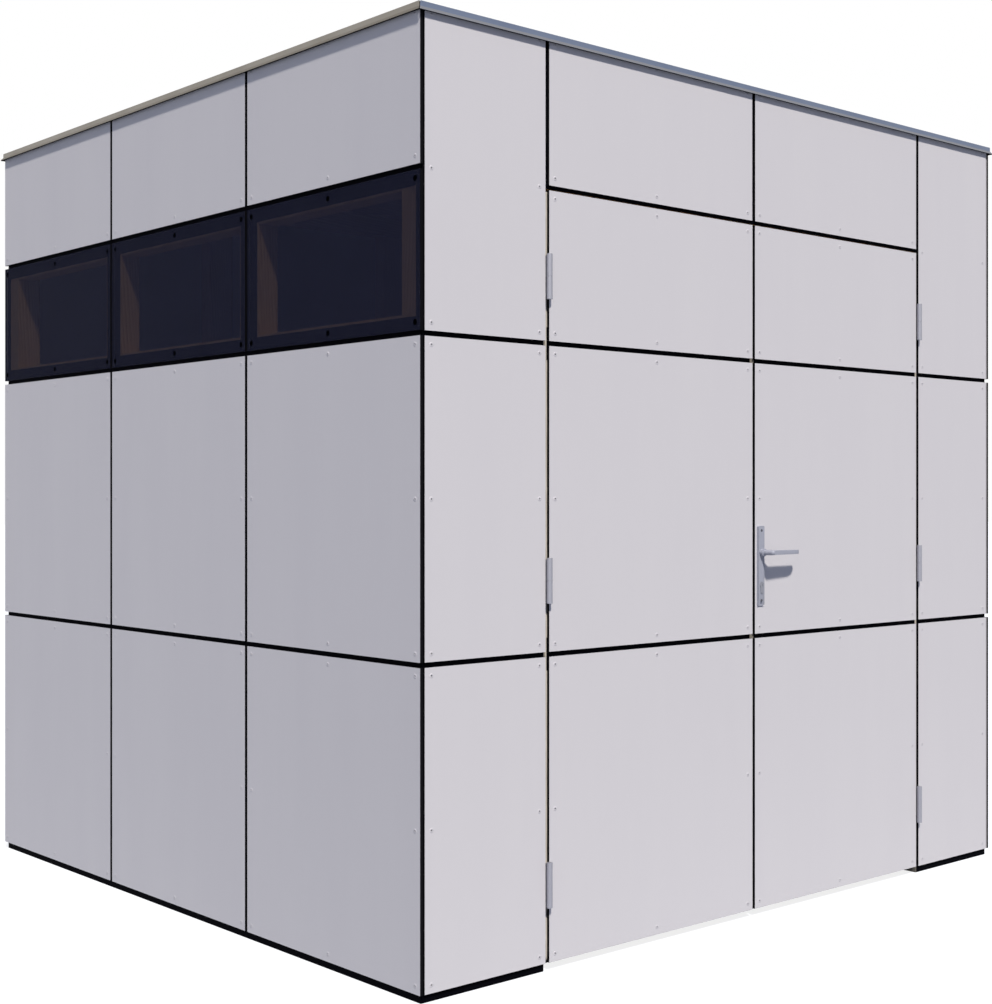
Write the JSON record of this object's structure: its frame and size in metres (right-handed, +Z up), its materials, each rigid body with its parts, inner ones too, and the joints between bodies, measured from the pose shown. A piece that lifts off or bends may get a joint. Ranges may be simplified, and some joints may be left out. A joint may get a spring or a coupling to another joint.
{
  "type": "garden shed",
  "caption": "Timber-frame garden shed clad in flat laminate boards with open joints, a band of dark panes on one side, a flat roof and a double door with a lever handle.",
  "frame": {"origin": "centre of the plan on the ground, on the underside of the middle floor joist", "axes": "+X to the right along the door front, +Y from the door front to the rear wall, +Z up"},
  "size_m": [2.368, 2.3875, 2.343],
  "materials": {
    "timber": "planed softwood, untreated inside",
    "sill_coating": "timber with a black bituminous coating",
    "plywood": "sanded plywood",
    "laminate": "light grey high-pressure laminate, satin, black core",
    "smoked_pane": "smoked clear pane",
    "membrane": "black roofing rubber",
    "tape": "black rubber joint tape",
    "trim_metal": "mill-finish aluminium section",
    "hinge_steel": "zinc-plated satin steel",
    "lock_steel": "satin stainless steel"
  },
  "bodies": {
    "shell": {"corner_posts": "timber", "side_sills": "sill_coating", "cross_sills": "sill_coating", "wall_posts": "timber", "left_wall_rails": "timber", "right_wall_rails": "timber", "rear_wall_rails": "timber", "front_wall_rails": "timber", "door_posts": "timber", "door_head": "timber", "lintel_posts": "timber", "door_stops": "timber", "door_threshold": "sill_coating", "side_top_plates": "timber", "cross_top_plates": "timber", "floor_joists": "timber", "floor_deck": "plywood", "roof_joists": "timber", "roof_deck": "plywood", "roof_membrane": "membrane", "cross_roof_trims": "trim_metal", "side_roof_trims": "trim_metal", "left_boards": "laminate", "left_header_boards": "laminate", "window_panes": "smoked_pane", "right_boards": "laminate", "rear_boards": "laminate", "front_boards": "laminate", "lintel_boards": "laminate", "wall_joint_tape": "tape", "jamb_hinges": "hinge_steel"},
    "left_leaf": {"left_leaf_stiles": "timber", "left_leaf_rails": "timber", "left_leaf_boards": "laminate", "left_leaf_tape": "tape", "left_leaf_hinges": "hinge_steel"},
    "right_leaf": {"right_leaf_stiles": "timber", "right_leaf_rails": "timber", "right_leaf_boards": "laminate", "right_leaf_tape": "tape", "right_leaf_hinges": "hinge_steel", "lock_case": "lock_steel", "outer_handle_plate": "lock_steel", "inner_handle_plate": "lock_steel"},
    "lever": {"lever_handle": "lock_steel"}
  },
  "joints": [
    {"name": "left_leaf_hinge", "type": "hinge", "parent": "shell", "child": "left_leaf", "pos_m": [-0.777, -1.168, 0.977], "axis": [0, 0, -1], "range_deg": [0, 160]},
    {"name": "right_leaf_hinge", "type": "hinge", "parent": "shell", "child": "right_leaf", "pos_m": [0.777, -1.168, 0.977], "axis": [0, 0, 1], "range_deg": [0, 160]},
    {"name": "lever_turn", "type": "hinge", "parent": "right_leaf", "child": "lever", "pos_m": [0.025, -1.1595, 1.029], "axis": [0, 1, 0], "range_deg": [0, 40], "stiffness_Nm_per_rad": 1.5, "springref_deg": -28.65}
  ]
}
